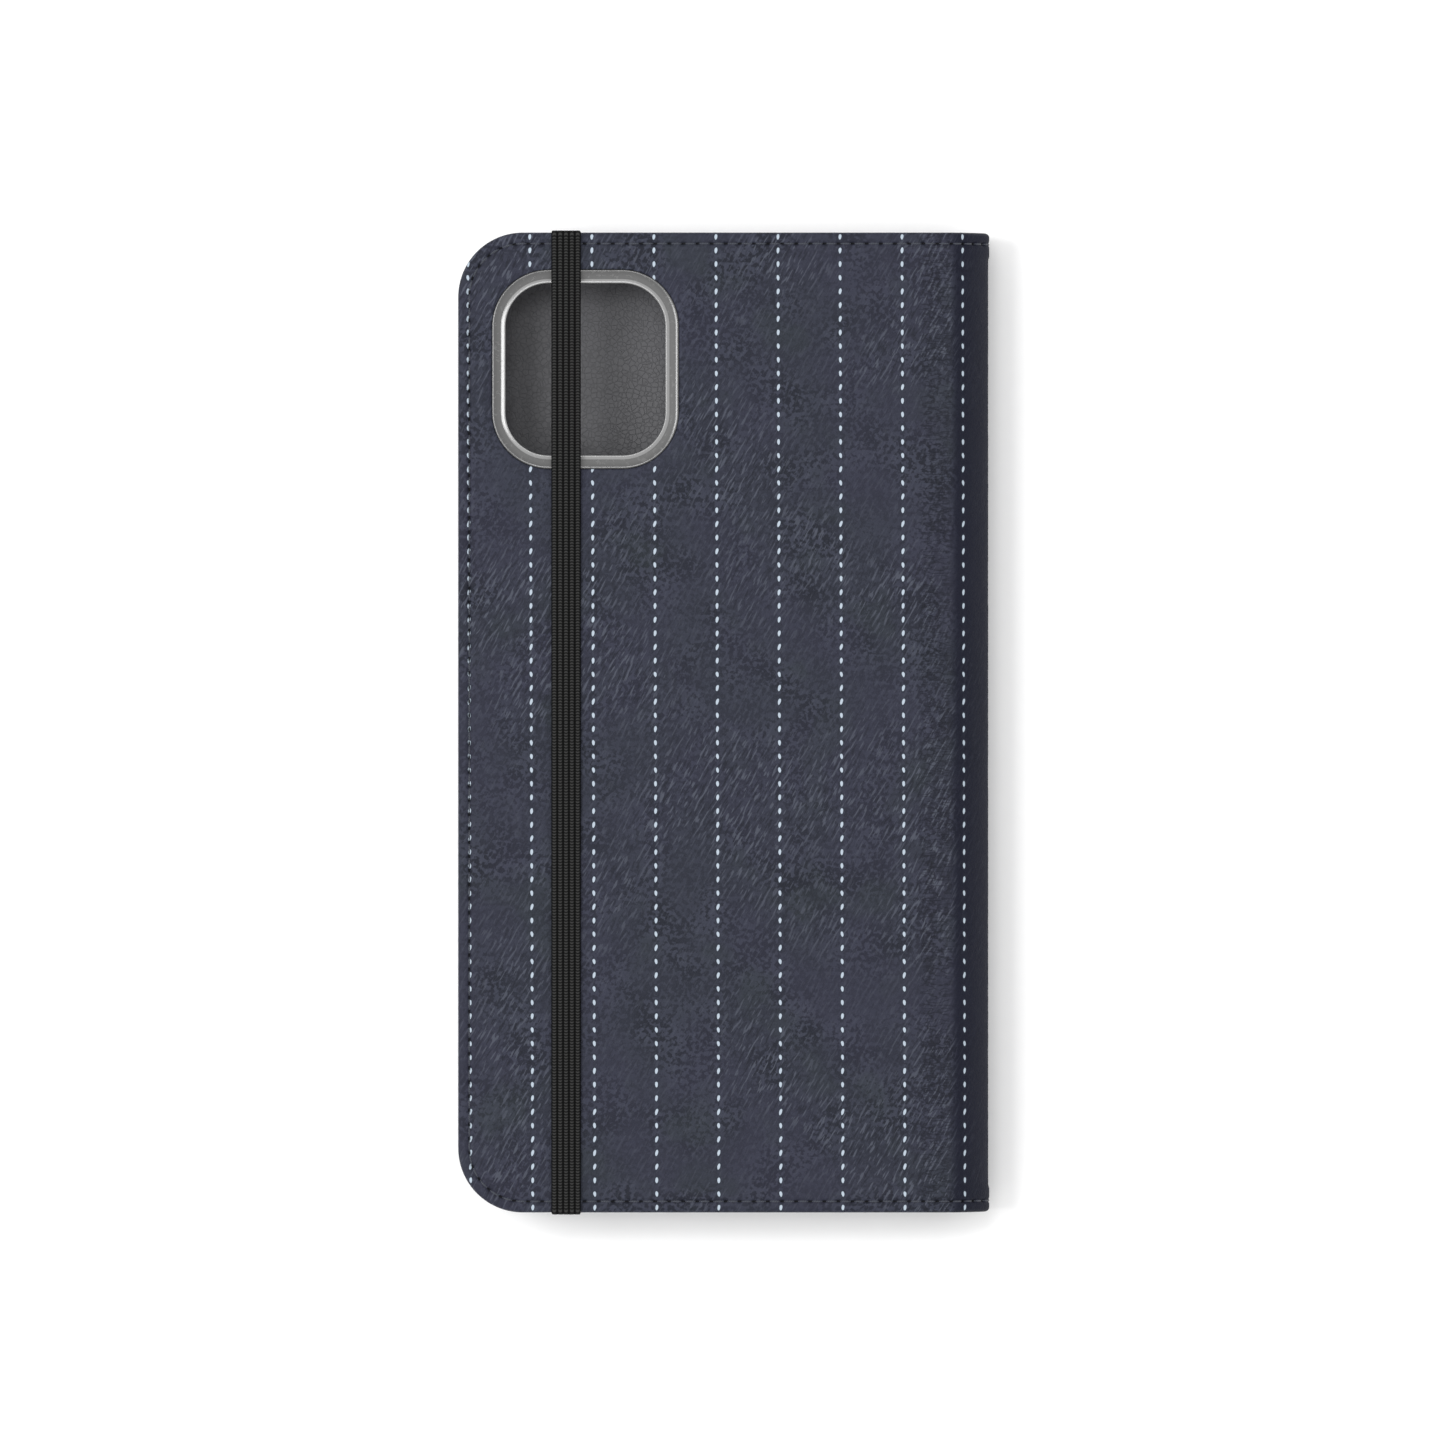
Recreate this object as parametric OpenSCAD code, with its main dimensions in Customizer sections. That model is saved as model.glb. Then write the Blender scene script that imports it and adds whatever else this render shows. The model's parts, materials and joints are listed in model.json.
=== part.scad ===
// Folio wallet case for a large phone, closed and lying on its front cover.
// X runs from the free edge to the spine, Y along the spine to the camera end, Z up
// through the layers to the back cover, where the camera window is.

/* [Case] */
// Width of the closed case, from the free edge to the spine
case_w = 90.6; // [88:0.2:94]
// Length of the case along its spine
case_l = 167; // [165:0.5:172]
// Corner radius of both covers at the free edge
corner_r = 11; // [8:0.5:12]
// Outer radius of the folds beside the spine
fold_r = 5.6; // [5:0.1:6.4]
// Gap between two cover halves at the middle of a fold
fold_gap = 0.3; // [0.2:0.05:0.5]

/* [Cover layers] */
// Thickness of the printed skin
skin_t = 0.7; // [0.5:0.05:0.9]
// Thickness of the stiff boards
board_t = 1.2; // [0.8:0.1:1.4]
// Distance from a board's edge to the start of the fold, where the cover bends freely
board_gap = 1.2; // [0.8:0.1:1.6]
// Thickness of the hem, where the skin is turned in
hem_t = 0.4; // [0.3:0.05:0.5]
// Width of the turned-in hem
hem_w = 7; // [5:0.5:9]
// Thickness of the lining where it covers the hem
lining_t = 0.4; // [0.3:0.05:0.5]
// Distance from the cover's edge to the lining's edge
lining_inset = 1; // [0.8:0.1:1.4]

/* [Stitching] */
// Distance from the cover's edge to the row of stitches
stitch_inset = 1.9; // [1.7:0.1:2.5]
// Width of the thread
thread_w = 0.35; // [0.2:0.05:0.4]
// Depth that the thread is sunk into the material
thread_t = 0.2; // [0.1:0.05:0.3]

/* [Pockets] */
// Thickness of one pocket sheet
pocket_t = 0.55; // [0.4:0.05:0.7]
// Distance from the cover's edge to the pockets
pocket_inset = 3.4; // [3:0.1:5]
// Distance from a pocket's edge to its row of stitches
seam_inset = 1.2; // [0.8:0.1:2]
// X of the cash pocket's mouth
cash_mouth_x = 32; // [28:0.5:36]
// X of the mouth of the card pocket nearest the spine
card_mouth_x = 25; // [22:0.5:27]
// Distance from one card pocket's mouth to the next
card_step = 9; // [6:0.5:11]
// Length of the card pockets along the case, for cards 85.6 mm long
card_pocket_l = 93; // [90:1:100]
// Middle of the card pockets along the case
card_pocket_y = -18; // [-22:1:0]
// Radius of the thumb notch in each card pocket's mouth
thumb_r = 20; // [12:1:30]
// Depth of the thumb notch
thumb_depth = 3; // [1:0.5:4]

/* [Phone tray] */
// Width of the phone that the tray holds
phone_w = 77.8; // [76:0.1:78.4]
// Length of the phone
phone_l = 158; // [154:0.5:159]
// Thickness of the phone
phone_t = 8.1; // [7.5:0.1:8.6]
// Corner radius of the phone
phone_r = 11; // [9:0.5:12]
// X of the phone's middle
phone_x = -2.6; // [-3:0.1:-2]
// Y of the phone's middle
phone_y = -0.3; // [-1:0.1:1]
// Play between the phone and the tray's walls
phone_play = 0.1; // [0.1:0.05:0.3]
// Thickness of the tray's side walls
tray_wall = 1.3; // [1:0.1:1.6]
// Thickness of the tray's floor
tray_floor = 1; // [0.8:0.1:1.2]
// Thickness of the lip that the phone snaps under
lip_t = 0.6; // [0.4:0.1:0.8]
// Reach of the lip over the phone
lip_w = 0.8; // [0.5:0.1:1.2]
// Height of the cut-outs in the tray's walls
cutout_h = 5.2; // [4.6:0.1:6]
// Length of the cut-out over the volume buttons and the mute switch
volume_l = 44; // [36:1:50]
// Y of the middle of that cut-out
volume_y = 36; // [30:1:40]
// Length of the cut-out over the side button
side_button_l = 24; // [18:1:30]
// Y of the middle of that cut-out
side_button_y = 27; // [20:1:35]
// Length of the cut-out over the charging port and the speakers
port_l = 44; // [36:1:48]

/* [Camera window] */
// X of the window's middle
window_x = -23.6; // [-24:0.1:-23]
// Y of the window's middle
window_y = 60.2; // [59.6:0.1:60.6]
// Width of the window in the back cover
window_w = 31.9; // [31:0.1:32.4]
// Length of the window in the back cover
window_l = 34; // [33:0.1:34.4]
// Corner radius of the window
window_r = 9.7; // [8:0.1:11]
// Width of the bezel that lines the window
bezel_w = 2.3; // [1.8:0.1:3]
// Width of the bezel's raised outer rim
bezel_rim_w = 1.2; // [0.8:0.1:1.5]
// Depth of the rim's top below the skin
bezel_rim_depth = 0.15; // [0:0.05:0.4]
// Depth of the bezel's inner lip below the skin
bezel_lip_depth = 0.9; // [0.5:0.05:1.2]

/* [Elastic band] */
// X of the band's middle
band_x = -26.9; // [-30:0.1:-20]
// Width of the band
band_w = 5; // [4:0.1:8]
// Thickness of the band
band_t = 0.8; // [0.6:0.05:0.8]
// Depth that the band is pulled into the cover's edge
band_sink = 0.45; // [0.2:0.05:0.5]
// Length of each band end along the cover's outer face
band_end_l = 3; // [2:0.5:6]
// Length of band that is sewn inside the cover
band_tuck_l = 5; // [3:0.5:5.5]
// Gap between the band's run and its ends, and between the run and the skin
band_gap = 0.1; // [0.05:0.05:0.3]
// Width of each bar tack
tack_w = 1.4; // [1:0.1:1.8]
// Height of a bar tack above the lining
tack_t = 0.25; // [0.1:0.05:0.4]

/* [Hidden] */
$fn = 72;

// Layers of one cover, counted from its outer face
board_z = skin_t;
hem_z = board_z + board_t;
lining_z = hem_z + hem_t;
cover_t = lining_z + lining_t;

// Layers of the closed case, counted from the table
card_count = 3;
close_gap = 0.3;
adhesive_t = 0.2;
bay_t = phone_t + 2 * phone_play;
pocket_z = cover_t;
pocket_top_z = pocket_z + (card_count + 1) * pocket_t;
tray_z = pocket_top_z + close_gap;
bay_z = tray_z + lip_t;
tray_floor_z = bay_z + bay_t;
adhesive_z = tray_floor_z + tray_floor;
case_t = adhesive_z + adhesive_t + cover_t;

// The folds
fold_x = case_w / 2 - fold_r;
fold_half_gap = asin(fold_gap / 2 / fold_r);
board_x = fold_x - board_gap;
spine_board_z = fold_r + board_gap;

// Sizes in plan
bay_w = phone_w + 2 * phone_play;
bay_l = phone_l + 2 * phone_play;
bay_r = phone_r + phone_play;
cutout_z = bay_z + bay_t / 2;
min_r = 0.5;
extra = 1;

skin_colour = "#383d4c";
board_colour = "#b8b3a6";
lining_colour = "#4a4b50";
pocket_colour = "#55565c";
thread_colour = "#4d5468";
tray_colour = "#5c5d60";
bezel_colour = "#8a8b8d";
band_colour = "#1b1b1c";

// Plan of a cover, cut square at right_x and inset from its other three edges
module cover_plan(inset, right_x) {
    r = max(corner_r - inset, min_r);
    left_x = inset - case_w / 2;
    end_y = case_l / 2 - inset;
    for (side = [-1, 1])
        translate([left_x + r, side * (end_y - r)]) circle(r);
    translate([left_x, r - end_y]) square([right_x - left_x, 2 * (end_y - r)]);
    translate([left_x + r, -end_y]) square([right_x - left_x - r, 2 * end_y]);
}

// Border of a cover's plan, between two insets
module cover_border(outer_inset, inner_inset, right_x) {
    difference() {
        cover_plan(outer_inset, right_x);
        cover_plan(inner_inset, right_x + extra);
    }
}

// Rectangle with round corners, about the origin
module round_plan(width, length, r) {
    for (x = [-1, 1], y = [-1, 1])
        translate([x * (width / 2 - r), y * (length / 2 - r)]) circle(r);
    square([width, length - 2 * r], center = true);
    square([width - 2 * r, length], center = true);
}

// A flat layer between two heights
module layer(bottom, top) {
    translate([0, 0, bottom]) linear_extrude(top - bottom) children();
}

// A shape drawn in X and Z, run along Y over a length about the middle
module along_spine(length) {
    rotate([90, 0, 0]) linear_extrude(length, center = true) children();
}

// The two ends of such a run, from half_in to half_out
module spine_ends(half_in, half_out) {
    for (side = [-1, 1])
        translate([0, side * (half_in + half_out) / 2, 0])
            along_spine(half_out - half_in) children();
}

// The cover's half of the front fold, between two depths under the outer face
module fold_arc(depth_out, depth_in) {
    reach = 2 * fold_r;
    stop = -45 - fold_half_gap;
    translate([fold_x, fold_r]) intersection() {
        difference() {
            circle(fold_r - depth_out);
            circle(fold_r - depth_in);
        }
        polygon([[0, 0], [0, -reach], [reach * cos(stop), reach * sin(stop)]]);
    }
}

// Section of a soft layer at the front fold: down beside the board, then along the skin and
// half-way round the fold. start_gap is its distance from the board, rise its depth there.
module fold_layer(depth_out, depth_in, start_gap, rise) {
    start_x = board_x + start_gap;
    fold_arc(depth_out, depth_in);
    translate([start_x, depth_out]) square([fold_x - start_x, depth_in - depth_out]);
    translate([start_x, depth_out]) square([depth_in - depth_out, rise - depth_out]);
}

// Carries a shape from the cover's side of the front fold to the spine's side
module spine_side() {
    translate([case_w / 2, 0, 0]) mirror([1, 0, 1]) translate([-case_w / 2, 0, 0]) children();
}

// Carries a shape from the front cover to the back cover
module back_side() {
    translate([0, 0, case_t]) mirror([0, 0, 1]) children();
}

// Both of the spine's fold halves
module both_folds() {
    spine_side() children();
    back_side() spine_side() children();
}

// An upright slab of the spine, between two depths under its outer face, from bottom to
// the same height under the top
module spine_slab(depth_out, depth_in, half_l, bottom) {
    translate([case_w / 2 - depth_in, -half_l, bottom])
        cube([depth_in - depth_out, 2 * half_l, case_t - 2 * bottom]);
}

// Skin of a fold half, with its hem at both ends
module fold_skin() {
    along_spine(case_l) fold_arc(0, skin_t);
    spine_ends(case_l / 2 - hem_w, case_l / 2)
        fold_layer(skin_t, skin_t + hem_t, 0, lining_z);
}

// Lining of a fold half
module fold_lining() {
    inner = skin_t + hem_t;
    along_spine(case_l - 2 * lining_inset)
        fold_layer(inner, inner + lining_t, hem_t, cover_t);
    along_spine(case_l - 2 * hem_w) fold_layer(skin_t, inner, 0, lining_z);
}

// Row of stitches around three edges of a cover, sunk into its outer face
module cover_thread() {
    layer(0, thread_t)
        cover_border(stitch_inset - thread_w / 2, stitch_inset + thread_w / 2, fold_x);
}

// Row of stitches across one fold half at both ends
module fold_thread() {
    middle = case_l / 2 - stitch_inset;
    spine_ends(middle - thread_w / 2, middle + thread_w / 2) fold_arc(0, thread_t);
}

// Rows of stitches across the spine at both ends
module spine_thread() {
    middle = case_l / 2 - stitch_inset;
    for (side = [-1, 1])
        translate([case_w / 2 - thread_t, side * middle - thread_w / 2, fold_r])
            cube([thread_t, thread_w, case_t - 2 * fold_r]);
    both_folds() fold_thread();
}

// Skin of a cover: outer face, edge wall, turned-in hem and its half of the fold
module cover_skin() {
    difference() {
        union() {
            layer(0, skin_t) cover_plan(0, fold_x);
            layer(0, lining_z) cover_border(0, skin_t, board_x);
            layer(hem_z, lining_z) cover_border(0, hem_w, board_x);
            fold_skin();
        }
        cover_thread();
        fold_thread();
    }
}

module cover_board() {
    layer(board_z, hem_z) cover_plan(skin_t, board_x);
}

module cover_lining() {
    layer(lining_z, cover_t) cover_plan(lining_inset, board_x + hem_t);
    layer(hem_z, lining_z) cover_plan(hem_w, board_x);
    fold_lining();
}

module cover_stitching() {
    cover_thread();
    fold_thread();
}

// Camera window, cut through every layer that it crosses
module window_cut(inset) {
    translate([window_x, window_y, tray_floor_z - extra])
        linear_extrude(case_t - tray_floor_z + 2 * extra)
            round_plan(window_w - 2 * inset, window_l - 2 * inset, window_r - inset);
}

// Where each band end passes over the edge and into the seam
module band_end_plan() {
    square([band_t, cover_t + band_t]);
    translate([-band_end_l, cover_t]) square([band_end_l + band_t, band_t]);
    translate([-band_tuck_l, 0]) square([band_tuck_l + band_t, band_t]);
}

module band_end() {
    translate([band_x, case_l / 2 - band_sink, case_t - cover_t])
        rotate([90, 0, 90]) linear_extrude(band_w, center = true) band_end_plan();
}

module both_band_ends() {
    band_end();
    mirror([0, 1, 0]) band_end();
}

// Plan of one card pocket, with a thumb notch in its mouth
module card_plan(mouth_x) {
    left_x = pocket_inset + seam_inset - case_w / 2;
    width = mouth_x - left_x;
    difference() {
        translate([left_x + width / 2, card_pocket_y]) round_plan(width, card_pocket_l, 2);
        translate([mouth_x + thumb_r - thumb_depth, card_pocket_y]) circle(thumb_r);
    }
}

// Row of stitches round a card pocket's closed sides, from start_x to its mouth
module card_seam_plan(start_x, mouth_x) {
    row_y = card_pocket_l / 2 - seam_inset;
    for (side = [-1, 1])
        translate([start_x, card_pocket_y + side * row_y - thread_w / 2])
            square([mouth_x - seam_inset - start_x, thread_w]);
}

// Card pockets are counted from the spine, each lying on the one before it
function card_mouth(index) = card_mouth_x - index * card_step;
function card_z(index) = pocket_z + (index + 1) * pocket_t;
function card_seam_start(index) =
    index == card_count - 1 ? pocket_inset + 2 * seam_inset - case_w / 2 : card_mouth(index + 1) + seam_inset;

module card_seam(index) {
    top = card_z(index) + pocket_t;
    layer(top - thread_t, top) {
        card_seam_plan(card_seam_start(index), card_mouth(index));
        if (index == card_count - 1)
            translate([card_seam_start(index), card_pocket_y - card_pocket_l / 2 + seam_inset])
                square([thread_w, card_pocket_l - 2 * seam_inset]);
    }
}

module card_pocket(index) {
    color(pocket_colour) difference() {
        layer(card_z(index), card_z(index) + pocket_t) card_plan(card_mouth(index));
        card_seam(index);
    }
}

module cash_seam() {
    row = pocket_inset + seam_inset / 2;
    top = pocket_z + pocket_t;
    layer(top - thread_t, top)
        cover_border(row - thread_w / 2, row + thread_w / 2, cash_mouth_x - seam_inset);
}

// Cut-out in a tray wall: a slot with round ends, run out through the wall
module wall_slot(length) {
    rotate([90, 0, 0]) linear_extrude(4 * tray_wall, center = true) {
        square([length - cutout_h, cutout_h], center = true);
        for (side = [-1, 1])
            translate([side * (length - cutout_h) / 2, 0]) circle(d = cutout_h);
    }
}

// Plan of the tray's bay, grown or shrunk by a margin
module bay_plan(margin) {
    translate([phone_x, phone_y])
        round_plan(bay_w + 2 * margin, bay_l + 2 * margin, bay_r + margin);
}

module front_skin() {
    color(skin_colour) cover_skin();
}

module front_board() {
    color(board_colour) cover_board();
}

module front_lining() {
    color(lining_colour) cover_lining();
}

module front_stitching() {
    color(thread_colour) cover_stitching();
}

module cash_pocket() {
    color(pocket_colour) difference() {
        layer(pocket_z, pocket_z + pocket_t) cover_plan(pocket_inset, cash_mouth_x);
        cash_seam();
    }
}

module pocket_stitching() {
    color(thread_colour) {
        cash_seam();
        for (index = [0:card_count - 1]) card_seam(index);
    }
}

module spine_skin() {
    color(skin_colour) difference() {
        union() {
            spine_slab(0, skin_t, case_l / 2, fold_r);
            difference() {
                spine_slab(0, lining_z, case_l / 2, spine_board_z);
                spine_slab(board_z, hem_z, case_l / 2 - skin_t, 0);
                spine_slab(skin_t, lining_z + extra, case_l / 2 - hem_w, 0);
            }
            both_folds() fold_skin();
        }
        spine_thread();
    }
}

module spine_board() {
    color(board_colour) spine_slab(board_z, hem_z, case_l / 2 - skin_t, spine_board_z);
}

module spine_lining() {
    color(lining_colour) {
        spine_slab(lining_z, cover_t, case_l / 2 - lining_inset, spine_board_z - hem_t);
        spine_slab(hem_z, lining_z, case_l / 2 - hem_w, spine_board_z);
        both_folds() fold_lining();
    }
}

module spine_stitching() {
    color(thread_colour) spine_thread();
}

module back_skin() {
    color(skin_colour) difference() {
        back_side() cover_skin();
        window_cut(0);
        both_band_ends();
    }
}

module back_board() {
    color(board_colour) difference() {
        back_side() cover_board();
        window_cut(0);
    }
}

module back_lining() {
    color(lining_colour) difference() {
        back_side() cover_lining();
        window_cut(0);
        both_band_ends();
    }
}

module back_stitching() {
    color(thread_colour) difference() {
        back_side() cover_stitching();
        both_band_ends();
    }
}

module tray_adhesive() {
    color("#d9d6c8") difference() {
        layer(adhesive_z, adhesive_z + adhesive_t) bay_plan(-2 * tray_wall);
        window_cut(0);
    }
}

module phone_tray() {
    color(tray_colour) difference() {
        layer(tray_z, adhesive_z) bay_plan(tray_wall);
        layer(bay_z, tray_floor_z) bay_plan(0);
        layer(tray_z - extra, bay_z + extra) bay_plan(-lip_w);
        window_cut(bezel_w);
        translate([phone_x, phone_y - bay_l / 2 - tray_wall / 2, cutout_z]) wall_slot(port_l);
        translate([phone_x - bay_w / 2 - tray_wall / 2, side_button_y, cutout_z])
            rotate([0, 0, 90]) wall_slot(side_button_l);
        translate([phone_x + bay_w / 2 + tray_wall / 2, volume_y, cutout_z])
            rotate([0, 0, 90]) wall_slot(volume_l);
    }
}

module camera_bezel() {
    color(bezel_colour) difference() {
        translate([window_x, window_y, 0])
            layer(adhesive_z, case_t - bezel_rim_depth) round_plan(window_w, window_l, window_r);
        window_cut(bezel_w);
        translate([0, 0, case_t - bezel_lip_depth - tray_floor_z + extra])
            window_cut(bezel_rim_w);
    }
}

module band_end_top() {
    color(band_colour) band_end();
}

module band_end_bottom() {
    color(band_colour) mirror([0, 1, 0]) band_end();
}

// A short bar of thread across each tucked band end, beside the tray
module band_tacks() {
    tray_end_y = phone_y + bay_l / 2 + tray_wall;
    tack_y = (tray_end_y + case_l / 2) / 2;
    color(thread_colour)
        for (side = [-1, 1])
            translate([band_x - band_w / 2, side * tack_y - tack_w / 2, case_t - cover_t - tack_t])
                cube([band_w, tack_w, tack_t]);
}

module elastic_band() {
    half_l = case_l / 2 - band_sink - band_end_l - band_gap;
    color(band_colour)
        translate([band_x - band_w / 2, -half_l, case_t + band_gap])
            cube([band_w, 2 * half_l, band_t]);
}

front_skin();
front_board();
front_lining();
front_stitching();
cash_pocket();
card_pocket(0);  // card_pocket_inner
card_pocket(1);  // card_pocket_middle
card_pocket(2);  // card_pocket_outer
pocket_stitching();
spine_skin();
spine_board();
spine_lining();
spine_stitching();
back_skin();
back_board();
back_lining();
back_stitching();
tray_adhesive();
phone_tray();
camera_bezel();
band_end_top();
band_end_bottom();
band_tacks();
elastic_band();
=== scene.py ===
"""The looks of a folio wallet case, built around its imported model.

Lengths are in millimetres, and each mesh is scaled to metres as it is made. The soft layers are drawn
as flat sheets: s runs across a sheet from the free edge to the middle of the spine, y runs along the
spine, and depth runs from the outer face into the case.
"""

import json
import math
from bisect import bisect_right

import bmesh
import bpy
from mathutils import Matrix, Vector, noise


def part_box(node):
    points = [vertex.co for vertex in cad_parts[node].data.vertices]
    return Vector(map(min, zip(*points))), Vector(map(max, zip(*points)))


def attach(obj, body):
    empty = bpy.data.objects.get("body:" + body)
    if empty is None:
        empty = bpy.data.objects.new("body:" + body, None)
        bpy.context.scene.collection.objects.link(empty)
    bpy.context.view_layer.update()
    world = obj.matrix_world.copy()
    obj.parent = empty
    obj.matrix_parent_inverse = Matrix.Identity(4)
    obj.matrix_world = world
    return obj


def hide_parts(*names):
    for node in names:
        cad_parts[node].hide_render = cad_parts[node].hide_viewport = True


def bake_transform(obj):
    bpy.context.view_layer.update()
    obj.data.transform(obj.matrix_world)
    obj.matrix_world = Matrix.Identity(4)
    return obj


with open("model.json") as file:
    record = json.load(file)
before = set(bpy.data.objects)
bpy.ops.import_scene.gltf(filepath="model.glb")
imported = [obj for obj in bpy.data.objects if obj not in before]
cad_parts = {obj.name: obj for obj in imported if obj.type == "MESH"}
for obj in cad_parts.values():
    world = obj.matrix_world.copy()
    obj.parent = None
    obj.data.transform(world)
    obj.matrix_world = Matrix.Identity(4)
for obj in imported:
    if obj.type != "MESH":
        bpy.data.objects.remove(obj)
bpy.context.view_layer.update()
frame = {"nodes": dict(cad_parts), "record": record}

MM = 0.001


def node_box(name):
    """Lowest and highest corners of a CAD node, in millimetres."""
    low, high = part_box(name)
    return low / MM, high / MM


# ---- Sizes that come from the frame

BACK_LOW, BACK_HIGH = node_box("back_skin")
BOARD_LOW, BOARD_HIGH = node_box("front_board")
HALF_W = -BACK_LOW.x
HALF_L = BACK_HIGH.y
CASE_T = BACK_HIGH.z
SKIN_T = BOARD_LOW.z
BOARD_T = BOARD_HIGH.z - BOARD_LOW.z
COVER_T = node_box("cash_pocket")[0].z
BOARD_X = BOARD_HIGH.x

# ---- Sizes of the looks

CORNER_R = 11.0
FOLD_W = 6.6
FOLD_H = 6.3
FOLD_POWER = 1.5  # over 1 flattens the fold towards a slanted facet
FOLD_STEPS = 28
HEM_Z = COVER_T - 0.4
HEM_W = 7.0
HEM_SHOWS = 4.7  # how far the hem thickens the ends of the spine
SPINE_SINK = 0.18  # how far the spine lies below its hems
LINING_INSET = 1.0
CHANNEL_SLOPE = 0.9
CREASE_START = 32.7
FLAT_INSET = 3.2

STITCH_INSET = 1.9
STITCH_PITCH = 2.4
STITCH_STEPS = 8
HOLE_DEPTH = 0.45
HOLE_SHARES = {0: 1.0, 1: 0.85}  # by the number of samples from a stitch's end
THREAD_R = 0.14
THREAD_UP = 0.12  # half of the height of a flattened thread
THREAD_SIDES = 8

STRIPE_START = -43.4
STRIPE_PITCH = 10.57
STRIPE_LEAN = 0.0031
DASH_PITCH = 2.33
DASH_PHASE = -1.12


def smooth(value, low, high):
    """0 below low, 1 above high, and a smooth step between them."""
    t = min(max((value - low) / (high - low), 0.0), 1.0)
    return t * t * (3 - 2 * t)


# ---- The line of the outer face, from the flat cover round the fold to the middle of the spine

def fold_line():
    """Rows of (s, x, z, normal x, normal z) along the fold and half of the spine.

    The normals turn evenly, so that the inner layers don't cross where the facet starts.
    """
    start = HALF_W - FOLD_W
    points = []
    for step in range(FOLD_STEPS + 1):
        turn = math.pi / 2 * step / FOLD_STEPS
        out = FOLD_W * math.sin(turn) ** FOLD_POWER
        up = FOLD_H * (1 - math.cos(turn) ** FOLD_POWER)
        points.append((start + out, up))
    points.append((HALF_W, CASE_T / 2))
    places = [start]
    for first, second in zip(points, points[1:]):
        places.append(places[-1] + math.dist(first, second))
    length = places[FOLD_STEPS] - start
    rows = []
    for s, (x, z) in zip(places, points):
        turn = math.pi / 2 * min((s - start) / length, 1.0)
        rows.append((s, x, z, -math.sin(turn), math.cos(turn)))
    return rows


FOLD_LINE = fold_line()
FOLD_S = [row[0] for row in FOLD_LINE]
FOLD_START_S = FOLD_S[0]
FOLD_END_S = FOLD_S[-2]
SPINE_S = FOLD_S[-1]
SPINE_BOARD_S = FOLD_END_S + FOLD_START_S - BOARD_X


def channel(s):
    """How far the layers are pressed together: 0 over a board, 1 between two boards."""
    rise = smooth(s, BOARD_X, BOARD_X + CHANNEL_SLOPE)
    fall = smooth(s, SPINE_BOARD_S - CHANNEL_SLOPE, SPINE_BOARD_S)
    return rise - fall


def wrap(s, y, depth):
    """The place of a sheet's point on the front cover, the front fold or the spine."""
    board_share = min(max((depth - SKIN_T) / BOARD_T, 0.0), 1.0)
    depth -= BOARD_T * channel(s) * board_share
    between_hems = smooth(HALF_L - abs(y), HEM_SHOWS - 0.8, HEM_SHOWS)
    depth += SPINE_SINK * between_hems * smooth(s, FOLD_START_S + 3, FOLD_END_S)
    if s <= FOLD_START_S:
        return Vector((s, y, depth))
    row = min(bisect_right(FOLD_S, s) - 1, len(FOLD_S) - 2)
    s0, x0, z0, nx0, nz0 = FOLD_LINE[row]
    s1, x1, z1, nx1, nz1 = FOLD_LINE[row + 1]
    t = (s - s0) / (s1 - s0)
    nx, nz = nx0 + (nx1 - nx0) * t, nz0 + (nz1 - nz0) * t
    length = math.hypot(nx, nz)
    return Vector((
        x0 + (x1 - x0) * t + nx / length * depth,
        y,
        z0 + (z1 - z0) * t + nz / length * depth,
    ))


def place(s, y, depth, back):
    """wrap, carried to the back cover if back is true."""
    point = wrap(s, y, depth)
    if back:
        point.z = CASE_T - point.z
    return point


# ---- Mesh helpers

def make_piece(name, bm, material):
    """Turns a bmesh in millimetres into an object in metres."""
    bmesh.ops.recalc_face_normals(bm, faces=bm.faces)
    bm.transform(Matrix.Scale(MM, 4))
    mesh = bpy.data.meshes.new(name)
    bm.to_mesh(mesh)
    bm.free()
    for polygon in mesh.polygons:
        polygon.use_smooth = True
    piece = bpy.data.objects.new(name, mesh)
    bpy.context.scene.collection.objects.link(piece)
    mesh.materials.append(material)
    return piece


def finish_piece(piece, slot, *nodes):
    """Hides the CAD nodes that a piece stands for. slot, the name of its finish, is not used."""
    if nodes:
        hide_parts(*nodes)
    return piece


def sharpen(piece, angle=40):
    """Keeps the edges that turn by more than angle degrees crisp."""
    piece.data.set_sharp_from_angle(angle=math.radians(angle))


def bridge(bm, first, second, closed=True):
    """Quads between two rows of vertices with the same count."""
    count = len(first)
    for i in range(count if closed else count - 1):
        j = (i + 1) % count
        corners = [first[i], first[j], second[j], second[i]]
        if len(set(corners)) == 4:
            bm.faces.new(corners)


def loop_edges(bm, verts):
    """The edges that join a closed row of vertices, made where there is none yet."""
    edges = []
    for a, b in zip(verts, verts[1:] + verts[:1]):
        edges.append(bm.edges.get((a, b)) or bm.edges.new((a, b)))
    return edges


# ---- Outlines: rows of (x, y, outward normal x, outward normal y)

def round_outline(x0, y0, x1, y1, radius, steps=14):
    """A rectangle with round corners, anticlockwise from its right side."""
    outline = []
    corners = [(x1, y1, 0), (x0, y1, 90), (x0, y0, 180), (x1, y0, 270)]
    for x, y, start in corners:
        centre_x = x - radius if x == x1 else x + radius
        centre_y = y - radius if y == y1 else y + radius
        for step in range(steps + 1):
            turn = math.radians(start + 90 * step / steps)
            nx, ny = math.cos(turn), math.sin(turn)
            outline.append((centre_x + radius * nx, centre_y + radius * ny, nx, ny))
    return outline


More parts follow.
